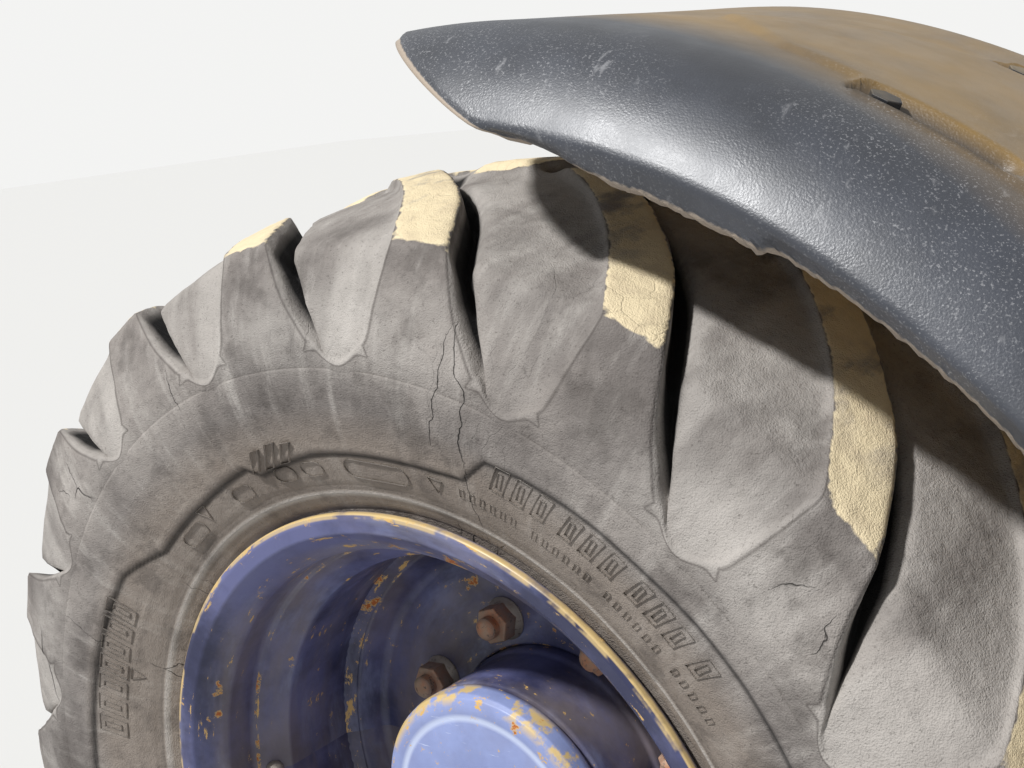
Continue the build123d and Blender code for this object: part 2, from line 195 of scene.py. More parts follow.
def newGroup(name, values, outputs):  # every group reads a vector first
    group = work["tree"] = bpy.data.node_groups.new(name, "ShaderNodeTree")
    group.interface.new_socket("Vector", in_out="INPUT", socket_type="NodeSocketVector")
    for title, value in values.items():
        socket = group.interface.new_socket(title, in_out="INPUT", socket_type="NodeSocketFloat")
        socket.default_value = value
    for title in outputs:
        kind = "NodeSocketVector" if title == "Vector" else "NodeSocketFloat"
        group.interface.new_socket(title, in_out="OUTPUT", socket_type=kind)
    return group.nodes.new("NodeGroupInput").outputs


def closeGroup(**results):
    group = work["tree"]
    out = group.nodes.new("NodeGroupOutput").inputs
    for title, result in results.items():
        group.links.new(result, out[title])
    return group


def useGroup(group, **sockets):
    return add("Group", sockets, node_tree=group)


groupLook = {
    "aroundWheel": 0.4,  # metres for each radian
    "patchRoughness": 0.62,
    "chips": (9.0, 0.7), "chipReach": 0.62, "chipEdge": 0.015, "chipRim": 0.03,
    "crackBend": 0.03, "crackBends": (26.0, 4.0), "crackSqueeze": (1.0, 0.15, 0.5),
    "crackSpots": (9.0, 2.0), "crackShare": (0.56, 0.63),
    "wideGrain": 0.12,
}


def makePolar():  # coordinates that follow the wheel: round it, outwards and across
    given = newGroup("wheelCoordinates", {}, ["Vector", "Radius"])
    x, y, z = add("SeparateXYZ", {0: given["Vector"]})
    flat = add("CombineXYZ", {0: x, 2: z})[0]
    radius = add("VectorMath", {0: flat}, operation="LENGTH")["Value"]
    around = times(maths("ARCTAN2", z, x), groupLook["aroundWheel"])
    return closeGroup(Vector=add("CombineXYZ", {0: around, 1: radius, 2: y})[0], Radius=radius)


def makePatches():  # soft or hard edged patches from noise
    given = newGroup("patches", {"Scale": 10.0, "Detail": 6.0, "Low": 0.4, "High": 0.6}, ["Mask"])
    spots = cloud(given["Vector"], given["Scale"], given["Detail"], groupLook["patchRoughness"])
    return closeGroup(Mask=stretch(spots, given["Low"], given["High"], way="SMOOTHSTEP"))


def makeChips():  # ragged flakes where paint is gone, thicker where the amount is higher
    given = newGroup("chips", {"Scale": 30.0, "Amount": 0.3}, ["Mask", "Rim"])
    clouds = cloud(given["Vector"], given["Scale"], *groupLook["chips"])
    level = minus(1.0, times(given["Amount"], groupLook["chipReach"]))
    inner, outer = plus(level, groupLook["chipEdge"]), minus(level, groupLook["chipRim"])
    return closeGroup(Mask=stretch(clouds, level, inner), Rim=stretch(clouds, outer, level))


def makeCracks():  # thin dark cracks that run outwards on rubber
    given = newGroup("cracks", {"Scale": 12.0, "Width": 0.02}, ["Mask"])
    place = given["Vector"]
    wander = cloud(place, *groupLook["crackBends"], output="Color")
    bent = add("Mix", {0: groupLook["crackBend"], 4: place, 5: wander}, data_type="VECTOR")[1]
    sockets = {"Vector": squeezed(bent, groupLook["crackSqueeze"]), "Scale": given["Scale"]}
    away = add("TexVoronoi", sockets, feature="DISTANCE_TO_EDGE")["Distance"]
    some = stretch(cloud(place, *groupLook["crackSpots"]), *groupLook["crackShare"])
    return closeGroup(Mask=times(stretch(away, 0.0, given["Width"], 1.0, 0.0), some))


def makeGrain():  # height of a fine grain with larger unevenness under it
    given = newGroup("grain", {"Scale": 600.0, "Coarse": 0.5}, ["Height"])
    fine = cloud(given["Vector"], given["Scale"], 3.0)
    wide = cloud(given["Vector"], times(given["Scale"], groupLook["wideGrain"]), 4.0)
    return closeGroup(Height=plus(fine, times(wide, given["Coarse"])))


polar = makePolar()
patches = makePatches()
chips = makeChips()
cracks = makeCracks()
grain = makeGrain()


def newMaterial(name, look, **shader):
    material = bpy.data.materials.new(name)
    material.use_nodes = True
    tree = material.node_tree
    surface = tree.nodes["Principled BSDF"].inputs
    for socket, value in shader.items():
        surface[socket.replace("_", " ")].default_value = value
    work.update(tree=tree, look=look, surface=surface)
    work["place"] = add("TexCoord", {})["Object"]
    return material, work["place"]


def lay(tone, mask=None, share=None):  # a tone of the look, or another, over the colours so far
    tone = colour(*work["look"]["tones"][tone]) if isinstance(tone, str) else tone
    if share is not None:
        mask = times(mask, share)
    work["base"] = tone if mask is None else mixed(mask, work["base"], tone)


def spots(name, vector=None):
    scale, low, high, detail = work["look"]["patches"][name]
    place = vector or work["place"]
    return useGroup(patches, Vector=place, Scale=scale, Low=low, High=high, Detail=detail)["Mask"]


def flakes(scale, amount, vector=None):
    return useGroup(chips, Vector=vector or work["place"], Scale=scale, Amount=amount)


def finish(rough, grainScale, coarse, sunk, strength, distance):  # sunk is how deep a mask lies
    height = useGroup(grain, Vector=work["place"], Scale=grainScale, Coarse=coarse)["Height"]
    if sunk:
        height = minus(height, times(*sunk))
    bump = add("Bump", {"Strength": strength, "Distance": distance, "Height": height})["Normal"]
    for socket, value in (("Base Color", work["base"]), ("Roughness", rough), ("Normal", bump)):
        work["tree"].links.new(value, work["surface"][socket])


rubberLook = {
    "tones": {
        "dark": (110, 104, 100), "grey": (155, 148, 142), "dustAndHighlight": (200, 194, 187),
        "brown": (150, 136, 122), "stain": (70, 64, 60), "sand": (242, 224, 186),
        # deep is near black: painted shade in the tread's slots and on the moulding's step walls, and the
        # dark of the cracks
        "soil": (206, 188, 158), "deep": (17, 16, 17),
    },
    "patches": {  # scale, low, high, detail
        "grey": (7.0, 0.34, 0.66, 9.0), "streaks": (60.0, 0.48, 0.78, 9.0), "bands": (40.0, 0.5, 0.72, 6.0),
        "mottles": (130.0, 0.5, 0.75, 6.0), "shoulder": (5.5, 0.36, 0.62, 7.0),
        "stains": (24.0, 0.5, 0.66, 9.0), "grooves": (22.0, 0.3, 0.6, 9.0), "pits": (480.0, 0.6, 0.68, 3.0),
        "worn": (34.0, 0.5, 0.68, 8.0), "soil": (45.0, 0.4, 0.8, 5.0), "rough": (40.0, 0.3, 0.7, 6.0),
    },
    "streaks": (1.0, 0.14, 0.4),
    "bands": (0.12, 1.0, 0.6),
    "shoulder": (0.425, 0.045, 0.01),  # radius, and how far the dust reaches from it
    "bead": (0.372, 0.345),
    "ridge": (0.2985, 0.0035, 0.001, 0.6),
    "floor": (0.46, 0.54),
    "floorEdge": (0.47, 0.04, 0.0, 0.55),
    "slotShade": (0.22, 0.5, 0.0, 0.97),
    "top": (0.5, 0.56),
    "topRagged": (110.0, 6.0),
    "topWear": (0.495, 0.511),
    "splits": {"Scale": 10.0, "Width": 0.0035},
    "fineCracks": {"Scale": 38.0, "Width": 0.012},
    "splitsEnd": (0.455, 0.445),
}


def makeRubber():
    look = rubberLook
    material, place = newMaterial("wornRubber", look, Specular_IOR_Level=0.3)
    around, radius = useGroup(polar, Vector=place)
    streaks = squeezed(around, look["streaks"])
    lay("dark")
    lay("grey", spots("grey"))
    lay("dustAndHighlight", spots("streaks", streaks), 0.55)
    lay("dark", spots("bands", squeezed(around, look["bands"])), 0.5)
    lay("dark", spots("mottles"), 0.35)
    lay("dustAndHighlight", times(near(radius, *look["shoulder"]), spots("shoulder")), 0.5)
    lay("brown", stretch(radius, *look["bead"]), 0.5)
    # a lighter line on the raised ring at 298.5 mm
    lay("dustAndHighlight", near(radius, *look["ridge"]))
    lay("stain", spots("stains"), 0.4)
    onFloor = painted("grooveFloor")
    lay("dustAndHighlight", stretch(onFloor, *look["floor"]), between(spots("grooves", streaks), 0.05, 0.52))
    # a darker line along the grooves' rims and feet
    lay("stain", near(onFloor, *look["floorEdge"]))
    lay("stain", spots("pits"), 0.4)
    # painted shade: near black in the slot beside each lug's trailing wall, where the wall casts its shadow
    lay("deep", stretch(painted("grooveDepth"), *look["slotShade"]))
    # painted shade on the sidewall moulding's step walls, from the recess layer
    lay("deep", painted("recess"), 0.8)
    # painted highlight: the marks' raised outlines laid lighter
    lay("dustAndHighlight", painted("raised"), 0.7)

    ragged = times(minus(cloud(place, *look["topRagged"]), 0.5), 0.3)
    top = stretch(plus(painted("lugTop"), ragged), *look["top"])
    worn = times(spots("worn", streaks), stretch(radius, *look["topWear"]))
    under = work["base"]
    lay("sand")
    lay("soil", spots("soil"), 0.7)
    lay("grey", worn)
    work["base"] = mixed(top, under, work["base"])

    splits = useGroup(cracks, Vector=around, **look["splits"])["Mask"]
    splits = times(splits, stretch(radius, *look["splitsEnd"]))
    fine = useGroup(cracks, Vector=around, **look["fineCracks"])["Mask"]
    both = plus(splits, times(fine, 0.12), True)
    lay("deep", both, 0.8)
    finish(between(spots("rough"), 0.72, 0.95), 900.0, 1.6, (both, 2.5), 0.85, 0.0012)
    return material


paintLook = {
    "tones": {
        "blue": (104, 108, 152), "light": (150, 160, 200), "dark": (46, 49, 80), "dust": (132, 120, 112),
        "primer": (214, 174, 104), "rust": (182, 102, 48), "lip": (214, 186, 128),
        "pale": (206, 216, 238), "faded": (150, 164, 212),
    },
    "patches": {  # scale, low, high, detail
        "dark": (9.0, 0.35, 0.65, 8.0), "light": (26.0, 0.5, 0.72, 8.0), "dust": (15.0, 0.40, 0.68, 9.0),
        "faded": (18.0, 0.3, 0.75, 8.0), "scratches": (7.0, 0.66, 0.7, 3.0),
        "rubbed": (26.0, 0.52, 0.58, 8.0), "lip": (20.0, 0.36, 0.54, 8.0), "rough": (30.0, 0.3, 0.7, 6.0),
    },
    "streaks": (0.16, 1.0, 1.0),
    "scratches": ((4.0, 1.0, 46.0), (0.0, 0.7, 0.0)),  # scale and turn
    "coverFace": (-0.528, -0.534),  # across, in front of this the cover's paint is faded
    "coverEnd": (0.1115, 0.1105),
    "coverRing": (0.0895, 0.004, 0.001, 0.7),
    "rubbedStart": (0.099, 0.106),
    "rubbedEnd": (0.1125, 0.1115),
    "edges": (0.503, 0.53),
    "wear": (0.52, 0.14, 0.05),  # everywhere, more on edges, and more for the fine flakes
    "flakes": (34.0, 120.0),
    "lipFace": (-0.620, -0.6235),
    "lipFlaking": (0.2788, 0.2800),
    "lipClouds": (34.0, 8.0),
    "lipShare": (0.44, 0.52, 0.0, 0.7),
    "lipLine": (0.2814, 0.2822),
}


def makeBluePaint():
    look = paintLook
    material, place = newMaterial(
        "bluePaint", look, Specular_IOR_Level=0.5, Coat_Weight=0.12, Coat_Roughness=0.25,
    )
    around, radius = useGroup(polar, Vector=place)
    across = add("SeparateXYZ", {0: place})[1]
    streaks = squeezed(around, look["streaks"])
    lay("blue")
    lay("dark", spots("dark"))
    lay("light", spots("light", streaks), 0.5)
    lay("dust", spots("dust", streaks), 0.6)

    front = stretch(across, *look["coverFace"])
    cover = times(stretch(radius, *look["coverEnd"]), front)
    lay("faded", cover, between(spots("faded"), 0.6, 1.0))
    lay("pale", cover, near(radius, *look["coverRing"]))
    lay("pale", times(cover, spots("scratches", squeezed(place, *look["scratches"]))), 0.6)
    rubbed = times(times(stretch(radius, *look["rubbedStart"]), front), spots("rubbed"))
    lay("lip", rubbed, stretch(radius, *look["rubbedEnd"]))

    everywhere, more, extra = look["wear"]
    wear = plus(everywhere, times(stretch(geometry("Pointiness"), *look["edges"]), more))
    flake = flakes(look["flakes"][0], wear)
    lay("primer", flake["Rim"])
    lay("rust", flake["Mask"])
    lay("primer", flakes(look["flakes"][1], plus(wear, extra), streaks)["Mask"])

    outside = stretch(across, *look["lipFace"])
    flaking = stretch(cloud(place, *look["lipClouds"]), *look["lipShare"])
    lay("lip", flaking, times(stretch(radius, *look["lipFlaking"]), outside))
    lay("lip", times(stretch(radius, *look["lipLine"]), outside), between(spots("lip"), 0.3, 0.9))
    rough = plus(times(flake["Mask"], 0.4), between(spots("rough"), 0.32, 0.55))
    finish(rough, 240.0, 0.8, (flake["Mask"], 1.2), 0.25, 0.0006)
    return material


steelLook = {
    "tones": {"pits": (58, 46, 40), "edges": (186, 174, 158)},
    "patches": {"pits": (210.0, 0.55, 0.7, 4.0), "rough": (90.0, 0.3, 0.7, 6.0)},
    "edges": (0.51, 0.56, 0.0, 0.6),
}


def makeSteel(name, clean, rusty, share, roughness):
    steelLook["patches"]["rust"] = (60.0, 0.5 - share, 0.9 - share, 8.0)
    material, _ = newMaterial(name, steelLook, Metallic=0.2)
    lay(colour(*clean))
    lay(colour(*rusty), spots("rust"))
    lay("pits", spots("pits"))
    lay("edges", stretch(geometry("Pointiness"), *steelLook["edges"]))
    finish(between(spots("rough"), roughness, roughness + 0.25), 700.0, 1.0, None, 0.4, 0.0004)
    return material


machineLook = {
    "tones": {"dust": (172, 156, 130)},
    "patches": {  # scale, low, high, detail
        "shade": (8.0, 0.35, 0.7, 7.0), "dust": (14.0, 0.3, 0.7, 8.0), "smears": (19.0, 0.46, 0.7, 9.0),
    },
    "facing": (0.1, 0.9),
    "edgeRadius": 0.004,
    "edges": (0.985, 0.9),
    "wear": (0.5, 0.22),  # everywhere and more on edges
    "flakes": 46.0,
}


# satin paint on castings and plates, with dust on what faces up and chips on edges
def makeMachinePaint(name, main, worn, roughness):
    look = machineLook
    material, _ = newMaterial(name, look, Specular_IOR_Level=0.45)
    lay(colour(*main))
    lay(colour(*[part * 0.8 for part in main]), spots("shade"))
    straight = geometry("Normal")
    facing = stretch(add("SeparateXYZ", {0: straight})[2], *look["facing"])
    dust = times(facing, spots("dust"))
    lay("dust", dust, 0.7)
    rounded = add("Bevel", {"Radius": look["edgeRadius"]}, samples=4)[0]
    turn = add("VectorMath", {0: rounded, 1: straight}, operation="DOT_PRODUCT")["Value"]
    everywhere, more = look["wear"]
    flake = flakes(look["flakes"], plus(everywhere, times(stretch(turn, *look["edges"]), more)))["Mask"]
    lay(colour(*[part * 0.55 + 34 for part in main]), spots("smears"), 0.45)
    lay(colour(*worn), flake)
    finish(plus(times(dust, 0.35), roughness), 300.0, 1.0, (flake, 1.0), 0.3, 0.0006)
    return material


plasticLook = {
    "tones": {
        "black": (32, 35, 43), "grey": (56, 60, 70), "scuff": (176, 176, 178),
        "yellowReflection": (184, 142, 52), "ragged": (172, 156, 138),
    },
    "patches": {  # scale, low, high, detail
        "grey": (6.0, 0.35, 0.7, 8.0), "scuffs": (90.0, 0.6, 0.72, 9.0), "specks": (620.0, 0.56, 0.7, 2.0),
        "scuffed": (5.0, 0.4, 0.65, 4.0), "reflection": (9.0, 0.25, 0.65, 8.0), "rough": (22.0, 0.3, 0.7, 7.0),
    },
    "scuffs": ((1.0, 0.35, 0.5), (0.4, 0.2, 0.5)),  # scale and turn
    "reflection": (-0.50, -0.42),  # across, from where to where the painted reflection of the yellow body begins
    "reflectionLean": 0.25,
    "reflectionShare": 0.58,
    "fuzz": (260.0, 4.0),
    "cut": (0.62, 0.9),
}


def makePlastic():
    look = plasticLook
    material, place = newMaterial(
        "blackPlastic", look, Specular_IOR_Level=0.8, Coat_Weight=0.7, Coat_Roughness=0.42,
    )
    lay("black")
    lay("grey", spots("grey"))
    marked = plus(spots("scuffs", squeezed(place, *look["scuffs"])), spots("specks"), True)
    lay("scuff", marked, times(spots("scuffed"), 0.5))
    x, y, _ = add("SeparateXYZ", {0: place})
    # painted reflection: a yellow tint on the inboard top for the yellow body mirrored in the plastic
    inboard = stretch(plus(y, times(x, look["reflectionLean"])), *look["reflection"])
    lay("yellowReflection", times(inboard, between(spots("reflection"), 0.55, 1.0)), look["reflectionShare"])
    # painted shade: the groove floors laid plain black, without the painted reflection, grey or scuffs
    lay("black", painted("sunk"))
    cut = painted("ragged")
    lay("ragged", stretch(plus(cut, times(cloud(place, *look["fuzz"]), 0.5)), *look["cut"]))
    rough = plus(between(spots("rough"), 0.34, 0.52), times(cut, 0.4), True)
    finish(rough, 760.0, 0.2, None, 0.5, 0.0006)
    return material


rubber = makeRubber()
bluePaint = makeBluePaint()
rustySteel = makeSteel("rustySteel", (176, 148, 122), (208, 120, 60), 0.16, 0.5)
plainSteel = makeSteel("plainSteel", (166, 158, 148), (134, 106, 84), 0.0, 0.35)
axlePaint = makeMachinePaint("axlePaint", (62, 62, 66), (128, 84, 52), 0.5)
bracketPaint = makeMachinePaint("bracketPaint", (214, 160, 22), (96, 66, 44), 0.45)
blackBolts = makeMachinePaint("blackBolts", (40, 41, 45), (84, 78, 72), 0.4)
plastic = makePlastic()
print("materials made")

for material, names in (
    (rubber, ["tyre"]),
    (bluePaint, ["rim", "wheel_disc", "hub", "hub_cap"]),
    (rustySteel, ["wheel_studs", "wheel_nuts", "oil_plug", "valve"]),
    (plainSteel, ["half_shaft"]),
    (axlePaint, ["axle_arm", "spindle"]),
    (bracketPaint, ["guard_bracket"]),
    (plastic, ["mudguard"]),
):
    for name in names:
        nodes[name].data.materials.clear()
        nodes[name].data.materials.append(material)


# tyre: the tread's grooves are drawn into a spun envelope, then it is smoothed and roughened

treadLook = {
    "lugs": 18,
    "pitch": 20.0,  # degrees of one lug and one groove
    "columns": 8,  # places across them
    "wall": 2.4,  # lean of a groove's wall each way
    "shares": ((0.47, 0.1), (0.86, 0.16)),  # places on a groove's floor, and how deep they are
    "landShares": (0.35, 0.68),  # places on a lug's top
    "slotShadeDepth": 30.0,  # depth at which the painted shade in a slot is darkest
    "leadingCrease": 0.5,
    "trailingCrease": 0.5,
    "shoulderCrease": 0.28,
    "floorCrease": 0.4,
    "footCrease": 0.35,
    "unevenness": (0.9, 34.0, 3.0),  # height, scale and seed
}
treadSections = [  # across, radius, tilt, back and front edge's direction, depth at back and at front
    (4.0, 517.0, 0.0, 122.4, 135.8, 12.0, 28.0),
    (60.0, 513.9, 5.8, 115.2, 128.8, 7.0, 32.0),
    (115.0, 505.7, 11.2, 109.3, 122.6, 5.0, 36.0),
    (186.0, 487.0, 30.0, 103.6, 117.4, 4.5, 38.0),
    (202.0, 450.0, 72.0, 104.0, 115.0, 3.0, 28.0),
    (209.4, 414.0, 86.0, 104.6, 111.6, 2.5, 10.0),
    (209.9, 403.0, 89.0, 105.2, 110.9, 2.4, 5.0),
    (210.0, 400.0, 90.0, 105.4, 110.6, 0.0, 0.0),
    (209.8, 391.0, 90.0, 106.0, 110.0, 0.0, 0.0),
]
grooveFoot = [16.0, 12.0, -1.0, 8.0, 13.0, 16.0, 10.0, 10.0]  # rounds the foot: how much higher a column ends
treadStations = [8, 7, 6, 5.5, 5, 4.6, 4.2, 3.7, 3.3, 3, 2.8, 2.4, 2, 1.5, 1, 0.5, 0]
firstColumn = 101.75  # direction of the first column where the columns are even
casingWall = [(391, 196), (440, 182), (470, 90), (470, -90), (440, -182), (391, -196)]


def crownRadius(across):
    _, middle = treadSections[0][:2]
    edge, low = treadSections[3][:2]
    drop = middle - low
    bow = (edge ** 2 + drop ** 2) / (2 * drop)
    return middle - bow + sqrt(bow ** 2 - across ** 2)


def treadSection(station):
    low = min(int(station), len(treadSections) - 2)
    share = station - low
    values = [blend(a, b, share) for a, b in zip(treadSections[low], treadSections[low + 1])]
    if station < 3:
        values[1] = crownRadius(values[0])
    return values


# angle in degrees, depth and mask values of one column of the tread at one station
def treadPlace(station, column):
    look = treadLook
    across, radius, tilt, back, front, backDepth, frontDepth = treadSection(station)
    lean = degrees(look["wall"] / radius)
    land = look["pitch"] - (front - back) - 2 * lean
    places = [(back - lean, 0.0), (back + lean, backDepth)]
    for share, deeper in look["shares"]:
        places.append((blend(back, front, share), blend(backDepth, frontDepth, deeper)))
    places += [(front - lean, frontDepth), (front + lean, 0.0)]
    places += [(front + lean + land * share, 0.0) for share in look["landShares"]]
    if station == 8:
        step = look["pitch"] / look["columns"]
        places = [(firstColumn + step * number, 0.0) for number in range(look["columns"])]
    if 4 < station < 8:
        radius += grooveFoot[column] * min((station - 4) / 2, 1)
    angle, depth = places[column]
    tilted = radians(tilt)
    return angle, radius - depth * cos(tilted), across - depth * sin(tilted), depth


def makeTread():
    look = treadLook
    columns, step = look["columns"], look["pitch"]
    total = columns * look["lugs"]
    rows = [(1, station) for station in treadStations]
    rows += [(-1, station) for station in reversed(treadStations)]
    profile = [(treadSection(station)[1], -side * treadSection(station)[0]) for side, station in rows]
    bm = lathe(profile + casingWall, total)
    rowLayer = bm.verts.layers.int["row"]
    columnLayer = bm.verts.layers.int.new("column")
    lugTop = bm.verts.layers.float.new("lugTop")
    floor = bm.verts.layers.float.new("grooveFloor")
    deep = bm.verts.layers.float.new("grooveDepth")
    for vert in bm.verts:
        if vert[rowLayer] >= len(rows):
            vert.co = Matrix.Rotation(radians(-firstColumn), 3, "Y") @ vert.co
            continue
        side, station = rows[vert[rowLayer]]
        spot = round(degrees(atan2(vert.co.z, vert.co.x)) / (360 / total)) % total
        pitch, column = divmod(spot, columns)
        turn = step * pitch
        if side < 0:  # the far side's lugs stand half a pitch further on
            column += columns // 2
            turn += step * (column // columns) - step / 2
            column %= columns
        angle, radius, across, depth = treadPlace(station, column)
        vert.co = wheelPoint(radius, -side * across, radians(angle + turn))
        vert[columnLayer] = column
        # the grooveDepth layer marks where the rubber paints the slot's shade
        vert[deep] = depth / look["slotShadeDepth"] if column == 4 else 0.0
        onEdge = column in (0, 5)
        if station <= 3 and (onEdge or column in (6, 7)):
            vert[lugTop] = 0.5 if onEdge or station == 3 else 1.0
        if station <= 7 and column not in (6, 7):
            vert[floor] = 0.5 if onEdge or station == 7 else 1.0
    crease = bm.edges.layers.float.new("crease_edge")
    kinds = {0: "leadingCrease", 1: "floorCrease", 3: "floorCrease", 4: "floorCrease", 5: "trailingCrease"}
    for edge in bm.edges:
        one, two = edge.verts
        if max(one[rowLayer], two[rowLayer]) >= len(rows):
            continue
        side, station = rows[one[rowLayer]]
        pair = {one[columnLayer], two[columnLayer]}
        if one[rowLayer] != two[rowLayer]:
            otherSide, otherStation = rows[two[rowLayer]]
            kind = kinds.get(one[columnLayer])
            if kind and side == otherSide and len(pair) == 1:  # fades out before the groove's foot
                fade = min(max((7.5 - max(station, otherStation)) / 2.0, 0.0), 1.0)
                edge[crease] = look[kind] * fade
        elif station in (6, 7):
            if max(pair) <= 5:
                edge[crease] = look["footCrease"]
        elif station in (3, 0) and pair <= {5, 6, 7, 0} and pair != {0, 5}:
            edge[crease] = look["shoulderCrease"]
    return bm


def roughen(piece, amount, scale, seed):  # small unevenness in a piece's own mesh, along its normals
    mesh = piece.data
    shift = Vector((seed, 2.0 * seed, 3.0 * seed))
    normals = [vert.normal.copy() for vert in mesh.vertices]
    for vert, normal in zip(mesh.vertices, normals):
        radius = hypot(vert.co.x, vert.co.z)
        fade = ease((radius - 0.40) / 0.03) if abs(vert.co.y - wheelPlane * mm) > 0.19 else 1.0
        swell = noise.fractal(vert.co * scale + shift, 0.8, 2.1, 3)
        vert.co += normal * (swell * amount * mm * fade)


def smoothed(piece, levels):  # applies a subdivision to a piece
    rounding = piece.modifiers.new("rounding", "SUBSURF")
    rounding.levels = levels
    rounding.render_levels = levels
    bpy.context.view_layer.update()
    graph = bpy.context.evaluated_depsgraph_get()
    rounded = piece.evaluated_get(graph)
    mesh = bpy.data.meshes.new_from_object(rounded, preserve_all_data_layers=True, depsgraph=graph)
    piece.modifiers.clear()
    piece.data = mesh


tread = makePiece(makeTread(), "tyreTread", "wheel", rubber, sharp=180)
smoothed(tread, 2)
roughen(tread, *treadLook["unevenness"])
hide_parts("tyre")
print("tread made")

sidewallLook = {
    "steps": 864,
    "top": 399.0,
    "row": 2.0,
    "rows": 54,
    "recess": 2.3,
    "slope": 5.0,
    "border": (2.5, 3.5, 0.5),  # outside the field's edge: place, reach and height
    "rings": [(299.0, 3.0, 1.3), (306.0, 3.5, -0.9)],  # radius, reach and height
    "fieldRing": (325.0, 3.0, 0.5),
    "darkRing": (303.5, 3.0, 0.45),
    "swell": (0.5, 22.0),  # height and scale
    "bulge": (210.0, 400.0, 0.00317),  # widest place, its radius and the curve
    "bead": [(288, 168.5), (284.6, 164.6), (266, 164.6), (257.6, 157), (257.6, 128), (281, 127)],
    "wall": 16.0,
    "back": (338, 375),
    "backEnd": (400, 197),
}
fieldEdge = [  # direction, radius of the moulded field's edge, repeated on the other half
    (-20, 363), (5, 374), (35.3, 382), (42.2, 381), (48.4, 377), (54.6, 376), (64.5, 372), (69.2, 368),
    (72.4, 344), (77, 340), (83, 338), (97, 336), (108, 328), (110, 337), (121.2, 332), (134.8, 332),
    (143.6, 354), (160, 363),
]


def sidewallAcross(radius):
    widest, middle, curve = sidewallLook["bulge"]
    return widest - curve * (radius - middle) ** 2


def ridge(value, spot, reach):
    return ease(1 - abs(value - spot) / reach)


# height of the sidewall's moulded lines over its plain curve, and the painted shade on their step walls
def moulding(radius, angle):
    look = sidewallLook
    edge = follow(fieldEdge, (angle + 20) % 180 - 20)
    inside = (edge - radius) / look["slope"]
    height = -look["recess"] * ease(inside)
    place, reach, rise = look["border"]
    height += rise * ridge(radius, edge + place, reach)
    for place, reach, rise in look["rings"]:
        height += rise * ridge(radius, place, reach)
    place, reach, rise = look["fieldRing"]
    height += rise * ridge(radius, place, reach) * ease((edge - 333) / 20)
    # dark is painted shade on the field edge's step wall, with a darker ring at darkRing's radius
    place, reach, share = look["darkRing"]
    dark = ridge(inside, 0.8, 0.8) + share * ridge(radius, place, reach)
    return height, min(dark, 1.0)


def makeSidewall(side, steps):
    look = sidewallLook
    rows = [look["top"] - look["row"] * number for number in range(look["rows"])]
    outside = [(radius, sidewallAcross(radius)) for radius in rows]
    back = [(radius, sidewallAcross(radius) - look["wall"]) for radius in look["back"]]
    outline = outside + look["bead"] + back + [look["backEnd"]]
    profile = [(radius, -side * across) for radius, across in outline]
    tall, scale = look["swell"]
    bm = lathe(profile, steps)
    rowLayer = bm.verts.layers.int["row"]
    recess = bm.verts.layers.float.new("recess")
    for vert in bm.verts:
        if vert[rowLayer] >= len(rows):
            continue
        angle = atan2(vert.co.z, vert.co.x)
        radius = rows[vert[rowLayer]]
        height, dark = moulding(radius, degrees(angle))
        swell = tall * noise.fractal(vert.co * scale, 0.8, 2.0, 2) * ease((392 - radius) / 12)
        tuck = 0.5 * ease((radius - 391) / 8)  # goes under the tread's edge
        across = sidewallAcross(radius) + height + swell - tuck
        vert.co = wheelPoint(radius, -side * across, angle)
        # the recess layer carries the moulding's painted shade
        vert[recess] = dark
    return bm


for name, side, steps in (("Outer", 1, sidewallLook["steps"]), ("Inner", -1, sidewallLook["steps"] // 3)):
    made = makeSidewall(side, steps)
    makePiece(made, "tyre" + name + "Side", "wheel", rubber, sharp=180)
print("sidewalls made")

# plain moulded marks on the sidewall: slanted bars, oblongs and triangles, each a thin raised outline

markLook = {
    "line": 2.0,
    "thin": 1.2,
    "height": 1.3,
    "sunk": 0.8,
    "lineShare": 0.24,  # of a bar's width, at the most
    "hatch": (0.17, 0.3, 0.8),  # the bar within a bar: share of its width and height, and its line
    "lifts": (1.7, 0.8, 1.0),  # slanted, small and other bars
}
# direction, radius, width, height and slant
bigAngles = (67.2, 64.4, 61.6, 57.8, 55.0, 52.2, 48.4, 45.6, 42.8, 39.0)
bigBars = [(angle, 356.0, 11.0, 22.0, 6.0) for angle in bigAngles]
sideBars = [(170.0 - 3.4 * number, 344.0, 15.0, 26.0, 4.0) for number in range(7)]
slantBars = [
    (106.9, 336.0, 9.0, 16.0, 14.0), (103.9, 337.0, 9.0, 19.0, 17.0), (100.9, 337.0, 9.0, 16.0, 14.0),
]
smallPlaces = [number for number in range(26) if number % 7 != 6]
smallBars = [(73.0 - 1.55 * number, 327.0 + 0.12 * number, 3.6, 7.5, 1.0) for number in smallPlaces]
oblongs = [  # direction, radius, length and half of the height
    (87.0, 321.5, 30.0, 8.0), (98.5, 321.0, 11.0, 6.0), (104.0, 320.0, 11.0, 6.0),
    (114.0, 318.0, 12.0, 6.0), (128.0, 317.0, 16.0, 6.0),
]
triangles = [(77.0, 324.0, 6.0), (123.0, 322.0, 6.0), (160.0, 322.0, 6.0)]


